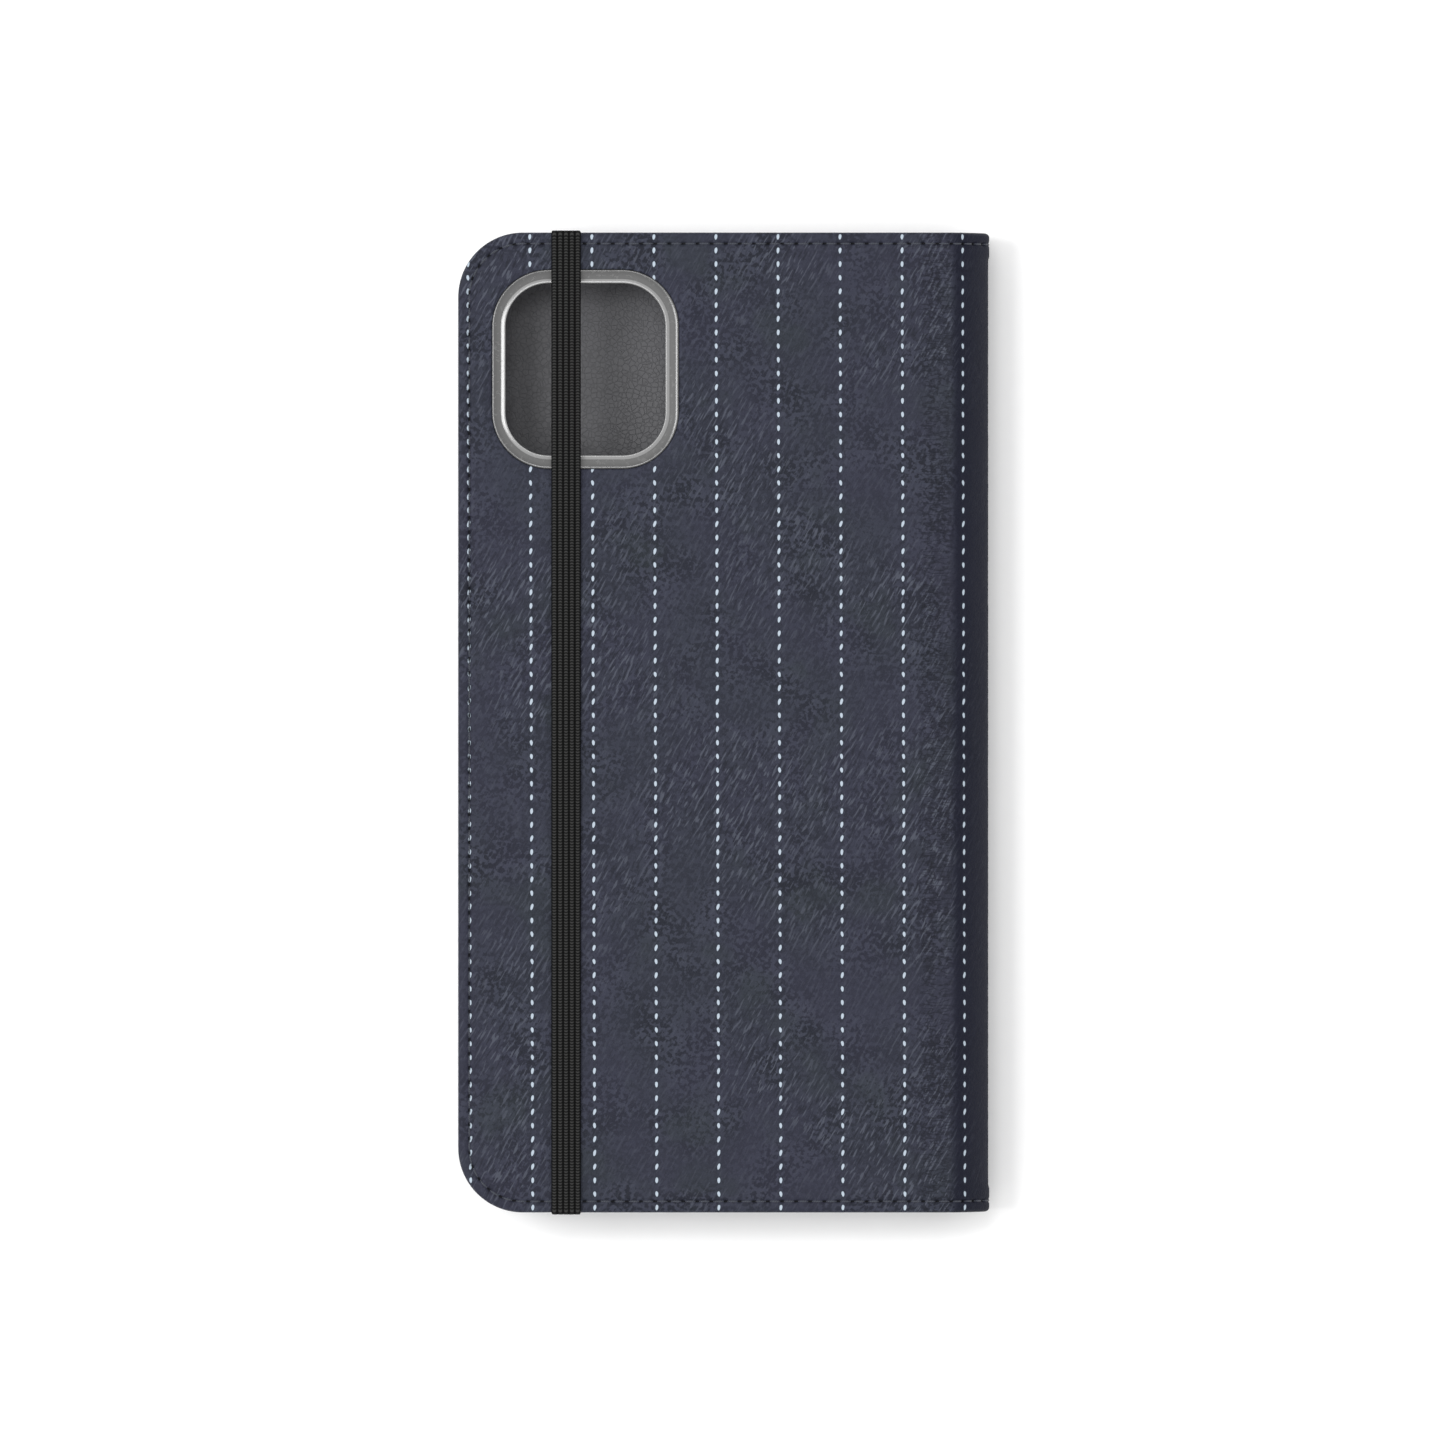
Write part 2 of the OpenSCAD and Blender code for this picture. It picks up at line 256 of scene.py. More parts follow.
def split_outline(outline, spacing):
    """The same closed outline, with its long sides cut to about the spacing."""
    result = []
    for (x0, y0, nx0, ny0), (x1, y1, nx1, ny1) in zip(outline, outline[1:] + outline[:1]):
        parts = max(1, round(math.hypot(x1 - x0, y1 - y0) / spacing))
        for part in range(parts):
            t = part / parts
            nx, ny = nx0 + (nx1 - nx0) * t, ny0 + (ny1 - ny0) * t
            length = math.hypot(nx, ny)
            result.append((x0 + (x1 - x0) * t, y0 + (y1 - y0) * t, nx / length, ny / length))
    return result


def ring(bm, outline, inset, z):
    """Vertices on an outline moved inwards by inset, at height z."""
    return [bm.verts.new((x - nx * inset, y - ny * inset, z)) for x, y, nx, ny in outline]


def quarter(radius, steps):
    """(sideways, down) pairs of a rounded edge, from its flat face to its wall."""
    turns = [math.pi / 2 * step / steps for step in range(steps + 1)]
    return [(radius * (1 - math.sin(t)), radius * (1 - math.cos(t))) for t in turns]


# ---- Soft sheets: the skins and linings

def sheet_row(inset):
    """Evenly spaced (s, y, outward normal s, outward normal y) round a cover's three edges.

    It runs from the middle of the spine along the bottom, round the free edge and back.
    """
    radius = CORNER_R - inset
    left, end = inset - HALF_W, HALF_L - inset
    straight = SPINE_S - (left + radius)
    arc = math.pi / 2 * radius
    side = 2 * (end - radius)
    total = 2 * straight + 2 * arc + side
    count = STITCH_STEPS * round(total / STITCH_PITCH)
    row = []
    for index in range(count + 1):
        d = total * min(index, count - index) / count
        if d <= straight:
            point = (SPINE_S - d, -end, 0.0, -1.0)
        elif d <= straight + arc:
            turn = (d - straight) / radius
            ns, ny = -math.sin(turn), -math.cos(turn)
            point = (left + radius + radius * ns, radius - end + radius * ny, ns, ny)
        else:
            point = (left, radius - end + d - straight - arc, -1.0, 0.0)
        s, y, ns, ny = point
        row.append(point if index * 2 <= count else (s, -y, ns, -ny))
    return row


ROW = sheet_row(STITCH_INSET)
# Samples of the row that lie between the creased zone and the spine, at each of its ends
CREASE_COUNT = sum(1 for s, y, ns, ny in ROW[:len(ROW) // 2] if s >= CREASE_START)


def crease(s, y):
    """Depth of the short creases across the fold that opening the case has left."""
    ramp = smooth(s, CREASE_START, CREASE_START + 2.5)
    fade = 1 - 0.75 * smooth(s, FOLD_START_S - 0.3, FOLD_START_S + 1.5)
    ends = smooth(HALF_L - abs(y), 5.0, 9.0)
    wiggle = noise.noise(Vector((s / 3.4, y / 1.5, 4.0)))
    wiggle += 0.4 * noise.noise(Vector((s / 1.6, y / 1.0, 9.0)))
    groove = smooth(0.3 - abs(wiggle), 0.0, 0.3)
    swell = noise.noise(Vector((s / 4.0, y / 2.2, 1.0)))
    return ramp * fade * ends * (0.12 * groove - 0.06 * swell)


class Sheet:
    """A closed sheet over one cover, its fold and half of the spine."""

    def __init__(self, back, window=None):
        self.bm = bmesh.new()
        # The hole layer marks the needle holes for the painted shade in the print.
        self.hole = self.bm.verts.layers.float.new("hole")
        self.uv = {}
        self.back = back
        self.window = window

    def vert(self, s, y, depth, print_s=None, print_y=None):
        """A vertex, with its place on the flat print."""
        vert = self.bm.verts.new(place(s, y, depth, self.back))
        u = s if print_s is None else print_s
        v = y if print_y is None else print_y
        self.uv[vert] = (u if self.back else 2 * SPINE_S - u, v)
        return vert

    def ring(self, inset, depth, travel, pit=0.0):
        """Vertices round three edges. travel is the way along the sheet, counted like inset.

        pit is the share of a needle hole's depth that is added where a stitch ends.
        """
        verts = []
        for index, (s, y, ns, ny) in enumerate(ROW):
            move, flat = STITCH_INSET - inset, STITCH_INSET - travel
            steps_away = min(index % STITCH_STEPS, -index % STITCH_STEPS)
            share = pit * HOLE_SHARES.get(steps_away, 0.0)
            vert = self.vert(s + ns * move, y + ny * move, depth + HOLE_DEPTH * share,
                             s + ns * flat, y + ny * flat)
            vert[self.hole] = abs(share)
            verts.append(vert)
        return verts

    def window_loops(self, rows):
        """Rings round the window from (growth, depth) pairs."""
        loops = []
        for grow, depth in rows:
            loops.append([
                self.vert(x + nx * grow, y + ny * grow, depth)
                for x, y, nx, ny in self.window
            ])
            if len(loops) > 1:
                bridge(self.bm, loops[-2], loops[-1])
        return loops

    def fill(self, border, depth, rows, hole=None, bumpy=False):
        """The flat part inside a ring: a grid by the fold, and triangles over the cover."""
        columns = []
        for j in range(CREASE_COUNT):
            low, high = border[j], border[-1 - j]
            (u0, v0), (u1, v1) = self.uv[low], self.uv[high]
            s = u0 if self.back else 2 * SPINE_S - u0
            column = [low]
            for k in range(1, rows):
                y = v0 + (v1 - v0) * k / rows
                column.append(self.vert(s, y, depth + (crease(s, y) if bumpy else 0)))
            columns.append(column + [high])
            if j > 0:
                bridge(self.bm, columns[-2], columns[-1], closed=False)
        last = CREASE_COUNT - 1
        outer = border[last:len(border) - last] + columns[-1][1:-1][::-1]
        edges = loop_edges(self.bm, outer)
        if hole:
            edges += loop_edges(self.bm, hole)
        bmesh.ops.triangle_fill(self.bm, edges=edges, use_beauty=True)
        return columns[0]

    def close_end(self, rings, outer_column, inner_column):
        """The flat end at the middle of the spine."""
        loop = [r[0] for r in rings] + inner_column[1:-1]
        loop += [r[-1] for r in rings[::-1]] + outer_column[1:-1][::-1]
        face = self.bm.faces.new(loop)
        bmesh.ops.triangulate(self.bm, faces=[face])

    def build(self, name, material, profile, rows=1, bumpy=False, window_rows=()):
        """Closes the sheet and turns it into an object. profile is the rings' list."""
        rings = [self.ring(*step) for step in profile]
        for first, second in zip(rings, rings[1:]):
            bridge(self.bm, first, second, closed=False)
        holes = self.window_loops(window_rows) if self.window else [None, None]
        outer = self.fill(rings[0], profile[0][1], rows, holes[0], bumpy)
        inner = self.fill(rings[-1], profile[-1][1], 1, holes[-1])
        self.close_end(rings, outer, inner)
        layer = self.bm.loops.layers.uv.new("print")
        for face in self.bm.faces:
            for loop in face.loops:
                loop[layer].uv = self.uv[loop.vert]
        return make_piece(name, self.bm, material)


def stitched(base, sign=1):
    """Ring steps across the row of stitches: a shallow groove with a hole at each stitch's end.

    base is the face's depth, and sign says which way is into the material.
    """
    grooves = [(0.7, 0.0, 0.0), (0.42, 0.04, 0.0), (0.22, 0.1, 0.5), (0.0, 0.13, 1.0),
               (-0.22, 0.1, 0.5), (-0.42, 0.04, 0.0), (-0.7, 0.0, 0.0)]
    steps = []
    for aside, dip, pit in grooves:
        inset = STITCH_INSET + aside
        steps.append((inset, base + sign * dip, inset, sign * pit))
    return steps


def skin_profile():
    """Rings of a skin: outer face, round edge, hem, and back along the inner face."""
    edge_r, turn_r = 0.8, 0.35
    steps = [(FLAT_INSET, 0.0, FLAT_INSET)] + stitched(0.0)
    for aside, down in quarter(edge_r, 6):
        arc = edge_r * math.asin(min(1.0, 1 - aside / edge_r))
        steps.append((aside, down, edge_r - arc))
    wall = edge_r * (1 - math.pi / 2)
    steps.append((0.0, 1.4, wall - 0.6))
    for aside, down in quarter(turn_r, 4)[::-1]:
        steps.append((aside, HEM_Z - down, wall - 1.15 - aside))
    steps.append((1.3, HEM_Z, wall - 2.3))
    steps.append((HEM_W, HEM_Z, wall - 8.0))
    steps.append((HEM_W, HEM_Z - 0.38, wall - 8.4))
    steps.append((SKIN_T, HEM_Z - 0.38, wall - 2.0))
    steps.append((SKIN_T, SKIN_T, 0.9))
    steps.append((FLAT_INSET, SKIN_T, FLAT_INSET))
    return steps


def lining_profile():
    """Rings of a lining: the face inside the case, its edge, and its back on the hem."""
    steps = [(FLAT_INSET, COVER_T, FLAT_INSET)] + stitched(COVER_T, -1)
    edge_r = 0.2
    for aside, down in quarter(edge_r, 3):
        steps.append((LINING_INSET + aside, COVER_T - down, LINING_INSET + aside))
    steps.append((LINING_INSET, HEM_Z + 0.01, LINING_INSET))
    steps.append((FLAT_INSET, HEM_Z + 0.01, FLAT_INSET))
    return steps


def window_outline():
    """The camera window's outline, which the bezel fills."""
    low, high = node_box("camera_bezel")
    return split_outline(round_outline(low.x, low.y, high.x, high.y, BEZEL_R), 2.0)


def bend_at_fold(piece):
    """Bakes a sheet's placement into its mesh."""
    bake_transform(piece)


def add_skin(side, back, material, nodes):
    """The printed leather of one side of the case."""
    rows = [(1.2, 0.0), (0.5, 0.0), (0.22, 0.05), (0.06, 0.16), (0.0, 0.34), (0.0, SKIN_T)]
    sheet = Sheet(back, window_outline() if back else None)
    piece = sheet.build(f"skin_{side}", material, skin_profile(), 400, True, rows)
    finish_piece(piece, "printed_leather", *nodes)
    bend_at_fold(piece)


def add_lining(side, back, material, nodes):
    """The lining of one side of the case."""
    rows = [(0.0, COVER_T), (0.0, HEM_Z + 0.01)]
    sheet = Sheet(back, window_outline() if back else None)
    piece = sheet.build(f"lining_{side}", material, lining_profile(), 120, False, rows)
    finish_piece(piece, "lining", *nodes)
    bend_at_fold(piece)


# ---- Stitches

def add_stitch(bm, layer, path, side_at, half_height, put):
    """One stitch: a thread that rises out of one hole and goes down the next.

    path gives (x, y, depth) points, side_at the direction across the thread at each, and put turns
    (x, y, depth) into a place.
    """
    rings = []
    last = len(path) - 1
    for index, (x, y, depth) in enumerate(path):
        nx, ny = side_at(index)
        fullness = 0.6 + 0.4 * math.sin(math.pi * index / last) ** 0.6
        verts = []
        for k in range(THREAD_SIDES):
            turn = 2 * math.pi * k / THREAD_SIDES
            aside = THREAD_R * fullness * math.cos(turn)
            down = half_height * fullness * math.sin(turn)
            verts.append(bm.verts.new(put(x + nx * aside, y + ny * aside, depth + down)))
        rings.append(verts)
    for index, (first, second) in enumerate(zip(rings, rings[1:])):
        for k in range(THREAD_SIDES):
            j = (k + 1) % THREAD_SIDES
            face = bm.faces.new([first[k], first[j], second[j], second[k]])
            corners = [(index, k), (index, k + 1), (index + 1, k + 1), (index + 1, k)]
            for loop, (along, around) in zip(face.loops, corners):
                loop[layer].uv = (along / last, around / THREAD_SIDES)
    bm.faces.new(rings[0])
    bm.faces.new(rings[-1])


def thread_rise(share, surface, sign):
    """Depth of a stitch's middle at a share of its length. It dives into the holes at its ends."""
    dive = smooth(abs(2 * share - 1), 0.55, 1.0)
    return surface + sign * (0.1 + 0.38 * dive)


def add_edge_stitches(name, back, material, surface, sign, nodes):
    """The row of stitches round three edges of one side, on its outer or inner face."""
    bm = bmesh.new()
    layer = bm.loops.layers.uv.new("thread")
    for start in range(0, len(ROW) - 1, STITCH_STEPS):
        points = ROW[start + 1:start + STITCH_STEPS]
        path = [
            (s, y, thread_rise(k / (STITCH_STEPS - 2), surface, sign))
            for k, (s, y, ns, ny) in enumerate(points)
        ]
        add_stitch(bm, layer, path, lambda k: points[k][2:], THREAD_UP,
                   lambda s, y, depth: place(s, y, depth, back))
    piece = make_piece(name, bm, material)
    finish_piece(piece, "thread", *nodes)
    bend_at_fold(piece)


def straight_stitches(bm, layer, start, end, z):
    """A row of stitches on a flat face that looks up, from one point to another."""
    (x0, y0), (x1, y1) = start, end
    length = math.hypot(x1 - x0, y1 - y0)
    dx, dy = (x1 - x0) / length, (y1 - y0) / length
    count = max(1, round(length / STITCH_PITCH))
    pitch, gap = length / count, 0.04
    for index in range(count):
        path = []
        for k in range(STITCH_STEPS + 1):
            d = pitch * (index + gap + (1 - 2 * gap) * k / STITCH_STEPS)
            path.append((x0 + dx * d, y0 + dy * d, thread_rise(k / STITCH_STEPS, 0, 1)))
        add_stitch(bm, layer, path, lambda k: (-dy, dx), THREAD_UP,
                   lambda x, y, depth: (x, y, z - depth))


# ---- Pockets

def pocket_outline(low, high, notch, corner_r):
    """A pocket sheet's outline, with its mouth on the spine side and a notch for the thumb."""
    outline = []
    mouth_r = 0.8
    corners = [
        (low.x, high.y, 90, corner_r),
        (low.x, low.y, 180, corner_r),
        (high.x, low.y, 270, mouth_r),
    ]
    for x, y, start, radius in corners:
        centre_x = x + radius if x == low.x else x - radius
        centre_y = y - radius if y == high.y else y + radius
        for step in range(11):
            turn = math.radians(start + 9 * step)
            nx, ny = math.cos(turn), math.sin(turn)
            outline.append((centre_x + radius * nx, centre_y + radius * ny, nx, ny))
    middle, reach = (low.y + high.y) / 2, 10.5
    for step in range(1, 40):
        offset = reach * (step / 20 - 1)
        dip = notch * math.cos(math.pi * offset / reach / 2) ** 2
        slope = notch * math.pi / 2 / reach * math.sin(math.pi * offset / reach)
        length = math.hypot(1, slope)
        if notch:
            outline.append((high.x - dip, middle + offset, 1 / length, -slope / length))
    x, y, radius = high.x, high.y, mouth_r
    for step in range(11):
        turn = math.radians(9 * step)
        nx, ny = math.cos(turn), math.sin(turn)
        outline.append((x - radius + radius * nx, y - radius + radius * ny, nx, ny))
    return split_outline(outline, 1.2)


def add_pocket(name, material, notch, corner_r):
    """One pocket sheet, with soft folded edges and a pressed line along its edge."""
    low, high = node_box(name)
    outline = pocket_outline(low, high, notch, corner_r)
    edge_r = 0.25
    bm = bmesh.new()
    steps = [(0.12, low.z), (0.0, low.z + 0.12)]
    steps += [(aside, high.z - down) for aside, down in quarter(edge_r, 4)[::-1]]
    steps += [(0.5, high.z), (0.62, high.z - 0.06), (0.74, high.z)]
    rings = [ring(bm, outline, inset, z) for inset, z in steps]
    for first, second in zip(rings, rings[1:]):
        bridge(bm, first, second)
    for border in (rings[0], rings[-1]):
        bmesh.ops.triangle_fill(bm, edges=loop_edges(bm, border), use_beauty=True)
    piece = make_piece(f"{name}_sheet", bm, material)
    finish_piece(piece, "pocket_leather", name)
    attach(piece, "front_cover")


def add_pocket_stitches(material):
    """The rows that hold the pockets: three sides of the cash pocket, and each card pocket."""
    bm = bmesh.new()
    layer = bm.loops.layers.uv.new("thread")
    seam = 1.2
    low, high = node_box("cash_pocket")
    side, radius = 0.6 * seam, 7.0
    x0, y1 = low.x + side, high.y - side
    for sign in (-1, 1):
        straight_stitches(bm, layer, (x0 + radius, sign * y1), (high.x - seam, sign * y1), high.z)
        steps = 5
        for k in range(steps):
            ends = []
            for turn in (math.pi / 2 * k / steps, math.pi / 2 * (k + 1) / steps):
                x = x0 + radius * (1 - math.sin(turn))
                ends.append((x, sign * (y1 - radius * (1 - math.cos(turn)))))
            straight_stitches(bm, layer, ends[0], ends[1], high.z)
    straight_stitches(bm, layer, (x0, radius - y1), (x0, y1 - radius), high.z)
    names = ["card_pocket_inner", "card_pocket_middle", "card_pocket_outer"]
    for index, name in enumerate(names):
        low, high = node_box(name)
        start = low.x + seam if index == 2 else node_box(names[index + 1])[1].x + seam
        for y in (low.y + seam, high.y - seam):
            straight_stitches(bm, layer, (start, y), (high.x - seam, y), high.z)
    straight_stitches(bm, layer, (start, low.y + seam), (start, high.y - seam), high.z)
    piece = make_piece("pocket_stitches", bm, material)
    finish_piece(piece, "thread", "pocket_stitching")
    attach(piece, "front_cover")


# ---- Tray and bezel

TRAY_WALL = 1.3
TRAY_FLOOR = 1.0
LIP_T = 0.6
LIP_W = 0.8
BAY_R = 11.1
BEZEL_W = 2.3
BEZEL_R = 9.7
GAP_H = 5.2
PORT_L = 44.0
SWITCH_GAP_L = 24.0
VOLUME_GAP_L = 44.0


def loft(bm, outline, steps):
    """A band of quads through rings at (inset, z) steps. Gives the rings."""
    rings = [ring(bm, outline, inset, z) for inset, z in steps]
    for first, second in zip(rings, rings[1:]):
        bridge(bm, first, second)
    return rings


def slot_cutter(length, height, reach, steps=12):
    """A solid slot with round ends along X, from inside the wall to Y = reach."""
    bm = bmesh.new()
    half, radius = (length - height) / 2, height / 2
    rings = []
    for y in (-1.2, reach):
        verts = []
        for side, start in ((1, -90), (-1, 90)):
            for step in range(steps + 1):
                turn = math.radians(start + 180 * step / steps)
                x = side * half + radius * math.cos(turn)
                verts.append(bm.verts.new((x, y, radius * math.sin(turn))))
        rings.append(verts)
    for first, second in zip(rings, rings[1:]):
        bridge(bm, first, second)
    bm.faces.new(rings[0])
    bm.faces.new(rings[-1])
    return bm


def cut_slot(piece, bm, place_x, place_y, place_z, turn):
    """Cuts a slot out of a piece in millimetres, facing outwards at turn degrees."""
    spot = Matrix.Translation((place_x, place_y, place_z))
    bm.transform(spot @ Matrix.Rotation(math.radians(turn), 4, "Z"))
    cutter = make_piece("cutter", bm, piece.data.materials[0])
    change = piece.modifiers.new("slot", "BOOLEAN")
    change.operation, change.solver, change.object = "DIFFERENCE", "EXACT", cutter
    bpy.context.view_layer.update()
    cut = bpy.data.meshes.new_from_object(piece.evaluated_get(bpy.context.evaluated_depsgraph_get()))
    piece.modifiers.clear()
    piece.data = cut
    bpy.data.objects.remove(cutter)


def add_tray(material):
    """The snap-in tray: floor, walls, the lip that the phone snaps under, and its gaps."""
    low, high = node_box("phone_tray")
    bay = (low.x + TRAY_WALL, low.y + TRAY_WALL, high.x - TRAY_WALL, high.y - TRAY_WALL, BAY_R)
    outline = split_outline(round_outline(*bay), 3.0)
    hole = [
        (x - nx * BEZEL_W, y - ny * BEZEL_W, nx, ny)
        for x, y, nx, ny in window_outline()
    ]
    lip_z, floor_z = low.z + LIP_T, high.z - TRAY_FLOOR
    edge_r, floor_r = 0.45, 0.6
    outer = [(aside - TRAY_WALL, low.z + down) for aside, down in quarter(edge_r, 4)]
    steps = [(-TRAY_WALL, high.z)] + outer[::-1]
    steps += [(LIP_W - 0.3, low.z), (LIP_W - 0.08, low.z + 0.1), (LIP_W, low.z + 0.3)]
    steps += [(LIP_W - 0.1, lip_z - 0.05), (0.0, lip_z + 0.25), (0.0, floor_z - floor_r)]
    steps += [(aside, floor_z - down) for aside, down in quarter(floor_r, 4)[::-1]]
    bm = bmesh.new()
    rings = loft(bm, outline, steps)
    window_steps = [(-0.25, floor_z), (-0.06, floor_z + 0.06), (0.0, floor_z + 0.25), (0.0, high.z)]
    floors = loft(bm, hole, window_steps)
    for border, inner in ((rings[0], floors[-1]), (rings[-1], floors[0])):
        edges = loop_edges(bm, border) + loop_edges(bm, inner)
        bmesh.ops.triangle_fill(bm, edges=edges, use_beauty=True)
    piece = make_piece("tray_shell", bm, material)
    middle = (lip_z + floor_z) / 2
    reach = 3.0
    openings = {o["name"]: o["box_m"] for o in frame["record"]["physics"]["openings"]}

    def middle_y(name):
        """The middle of a stated opening along the case."""
        box_low, box_high = openings[name]
        return (box_low[1] + box_high[1]) / 2 / MM

    slots = [
        (PORT_L, (low.x + high.x) / 2, low.y, 180),
        (SWITCH_GAP_L, low.x, middle_y("side_button_gap"), 90),
        (VOLUME_GAP_L, high.x, middle_y("volume_gap"), -90),
    ]
    for length, x, y, turn in slots:
        dx, dy = -math.sin(math.radians(turn)), math.cos(math.radians(turn))
        cutter = slot_cutter(length, GAP_H, reach)
        cut_slot(piece, cutter, x - dx * TRAY_WALL, y - dy * TRAY_WALL, middle, turn)
    for polygon in piece.data.polygons:
        polygon.use_smooth = True
    sharpen(piece, 35)
    finish_piece(piece, "tray_plastic", "phone_tray")
    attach(piece, "back_cover")


def add_bezel(material):
    """The plastic frame of the camera window: a rim, a slope down, and a thin inner ridge."""
    low, high = node_box("camera_bezel")
    outline = split_outline(round_outline(low.x, low.y, high.x, high.y, BEZEL_R, 24), 2.0)
    top = high.z
    steps = [
        (0.0, low.z), (0.0, top - 0.3), (0.04, top - 0.1), (0.14, top - 0.02), (0.26, top),
        (0.42, top - 0.03), (0.7, top - 0.16), (1.1, top - 0.37), (1.45, top - 0.56),
        (1.54, top - 0.62), (1.6, top - 0.6), (1.75, top - 0.548), (1.9, top - 0.508),
        (2.05, top - 0.48), (2.18, top - 0.465), (2.25, top - 0.48), (BEZEL_W, top - 0.54),
        (BEZEL_W, low.z),
    ]
    bm = bmesh.new()
    layer = bm.verts.layers.float.new("inset")
    rings = loft(bm, outline, steps)
    for verts, (inset, z) in zip(rings, steps):
        for vert in verts:
            vert[layer] = inset
    bridge(bm, rings[-1], rings[0])
    piece = make_piece("window_frame", bm, material)
    sharpen(piece, 50)
    finish_piece(piece, "bezel_plastic", "camera_bezel")
    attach(piece, "back_cover")


# ---- Elastic band

BAND_T = 0.8
RIBS = 5


def band_section(half_w, relief):
    """(across, up) points of the band's section. relief is the depth of its ribs, from 0 to 1."""
    groove, edge, shoulder, heel = 0.14 * relief, 0.16, 0.28, 0.25
    points = []
    per_rib = 8
    for step in range(RIBS * per_rib + 1):
        across = -half_w + edge + (2 * half_w - 2 * edge) * step / (RIBS * per_rib)
        phase = (step % per_rib) / per_rib
        bulge = math.sin(math.pi * phase) ** 0.5 if step % per_rib else 0.0
        points.append((across, BAND_T / 2 - groove + groove * bulge))
    sides = [(half_w, BAND_T / 2 - shoulder), (half_w, heel - BAND_T / 2), (half_w - edge, -BAND_T / 2)]
    return points + sides + [(-across, up) for across, up in sides[::-1]]


def band_path(sign):
    """(y, z, outward y, outward z) rows: out of the seam, over the edge and to the middle of the run."""
    low, high = node_box("band_end_top")
    out, tuck_z, top_z = high.y - BAND_T / 2, low.z + BAND_T / 2, high.z - BAND_T / 2
    sink = 0.08
    run_z = node_box("elastic_band")[0].z - sink + BAND_T / 2
    bend, turns = 0.62, 6
    path = [(low.y + 0.1, tuck_z, 0.0, -1.0), (out - bend, tuck_z, 0.0, -1.0)]
    for step in range(1, turns + 1):
        turn = math.pi / 2 * step / turns
        path.append((out - bend + bend * math.sin(turn), tuck_z + bend - bend * math.cos(turn),
                     math.sin(turn), -math.cos(turn)))
    path.append((out, (tuck_z + top_z) / 2, 1.0, 0.0))
    for step in range(turns + 1):
        turn = math.pi / 2 * step / turns
        path.append((out - bend + bend * math.cos(turn), top_z - bend + bend * math.sin(turn),
                     math.cos(turn), math.sin(turn)))
    eases, spacing = 10, 0.4
    for step in range(1, eases + 1):
        y = out - bend - spacing * step
        path.append((y, top_z + (run_z - top_z) * smooth(step, 0, eases), 0.0, 1.0))
    start = path[-1][0]
    count = 200
    for step in range(1, count + 1):
        path.append((start * (1 - step / count), run_z, 0.0, 1.0))
    return [(sign * y, z, sign * ny, nz) for y, z, ny, nz in path]


def add_band(name, sign, material, nodes):
    """Half of the elastic band, from its tucked end to the middle of its run."""
    low, high = node_box("elastic_band")
    middle_x, half_w = (low.x + high.x) / 2, (high.x - low.x) / 2
    bm = bmesh.new()
    layer = bm.loops.layers.uv.new("knit")
    path = band_path(sign)
    along, rings = [0.0], []
    for index, (y, z, ny, nz) in enumerate(path):
        if index:
            along.append(along[-1] + math.dist(path[index - 1][:2], (y, z)))
        section = band_section(half_w, 1 - 0.8 * abs(ny))
        rings.append([
            bm.verts.new((middle_x + across, y + ny * up, z + nz * up)) for across, up in section
        ])
    count = len(section)
    for i in range(len(rings) - 1):
        for k in range(count):
            j = (k + 1) % count
            face = bm.faces.new([rings[i][k], rings[i][j], rings[i + 1][j], rings[i + 1][k]])
            corners = [(k, i), (j, i), (j, i + 1), (k, i + 1)]
            for loop, (a, b) in zip(face.loops, corners):
                across = section[a][0] + half_w
                loop[layer].uv = (across, along[-1] - along[b])
    bm.faces.new(rings[0])
    bm.faces.new(rings[-1])
    piece = make_piece(name, bm, material)
    finish_piece(piece, "elastic", *nodes)
    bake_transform(piece)


def add_tacks(material):
    """A bar of close, slanting threads across each tucked band end."""
    low, high = node_box("band_tacks")
    width, margin, slant, half_height = 1.4, 0.1, 0.12, 0.13
    bm = bmesh.new()
    layer = bm.loops.layers.uv.new("thread")
    count = 18
    for sign in (-1, 1):
        y1 = sign * (high.y - margin)
        y0 = sign * (high.y - width + margin)
        for index in range(count):
            x = low.x + 0.2 + (high.x - low.x - 0.4) * index / (count - 1)
            points = []
            for k in range(5):
                share = k / 4
                depth = 0.08 + 0.3 * abs(2 * share - 1) ** 4
                points.append((x + slant * share, y0 + (y1 - y0) * share, depth))
            add_stitch(bm, layer, points, lambda k: (1.0, 0.0), half_height,
                       lambda a, b, depth: (a, b, low.z + depth))
    piece = make_piece("band_tack_threads", bm, material)
    finish_piece(piece, "thread", "band_tacks")
    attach(piece, "back_cover")


# ---- Materials

